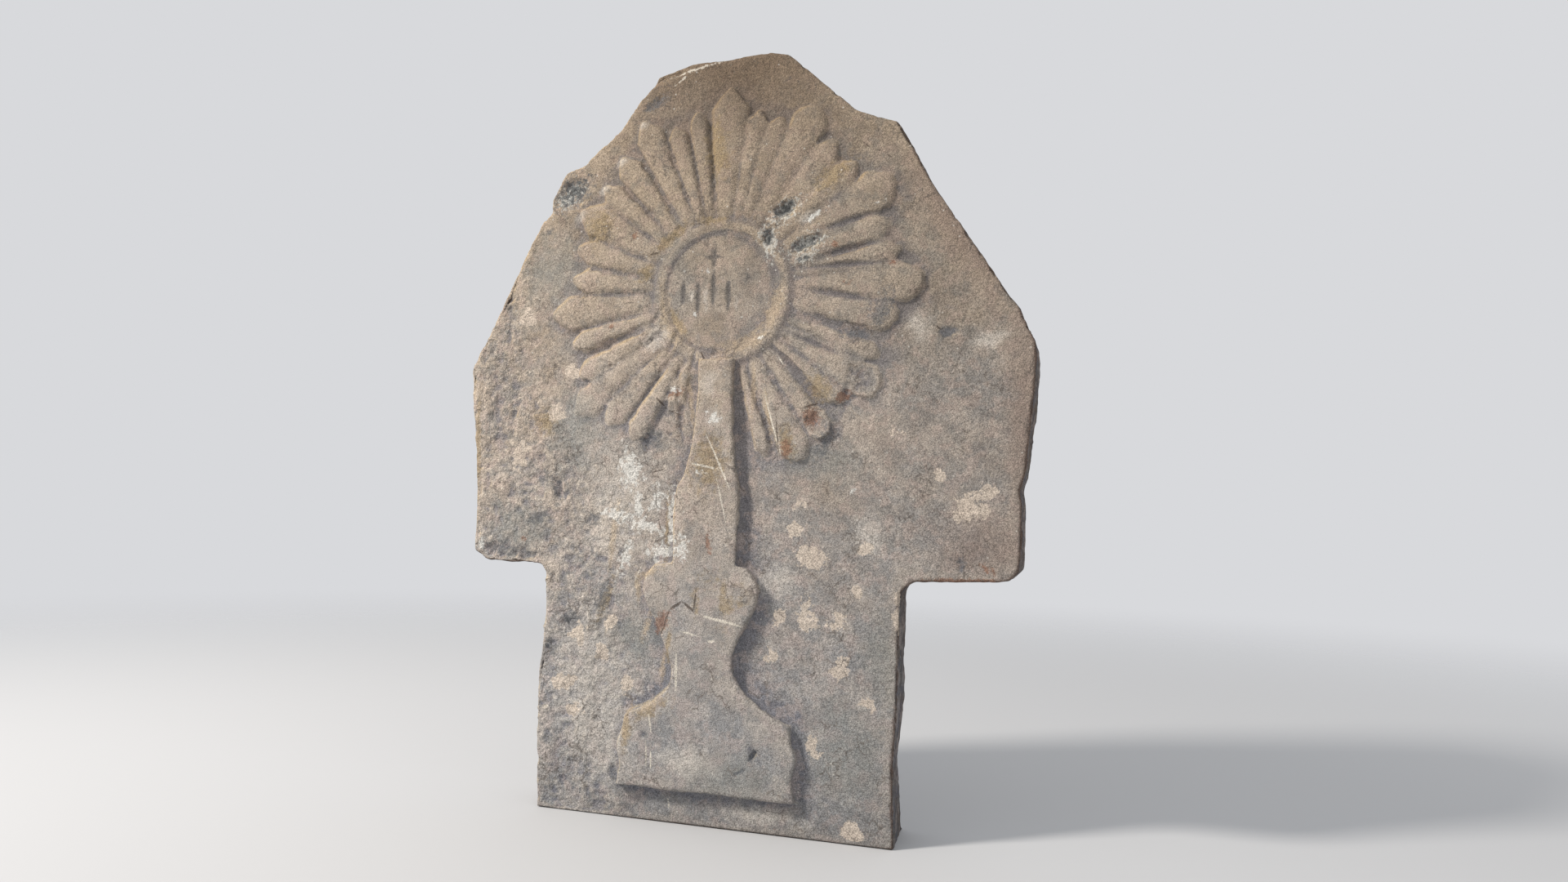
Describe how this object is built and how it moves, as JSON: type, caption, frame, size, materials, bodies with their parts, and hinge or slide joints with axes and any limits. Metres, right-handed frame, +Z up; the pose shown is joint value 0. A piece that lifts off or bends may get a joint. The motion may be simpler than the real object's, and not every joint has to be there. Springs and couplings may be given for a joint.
{
  "type": "carved stone cross slab",
  "caption": "Flat sandstone slab in the shape of a cross with a broken head, carved in low relief with a sunburst on a tall stand.",
  "frame": {"origin": "on the ground under the middle of the slab's box, midway between the ends of the arms", "axes": "+Z up from the foot to the broken head, +X to the right seen from the front, -Y out of the carved face"},
  "size_m": [0.7, 0.0984, 0.9],
  "materials": {
    "sandstone": "weathered grey-beige sandstone with lichen, lime streaks and brown iron stains"
  },
  "bodies": {
    "root": {"stone_cross": "sandstone"}
  },
  "joints": []
}
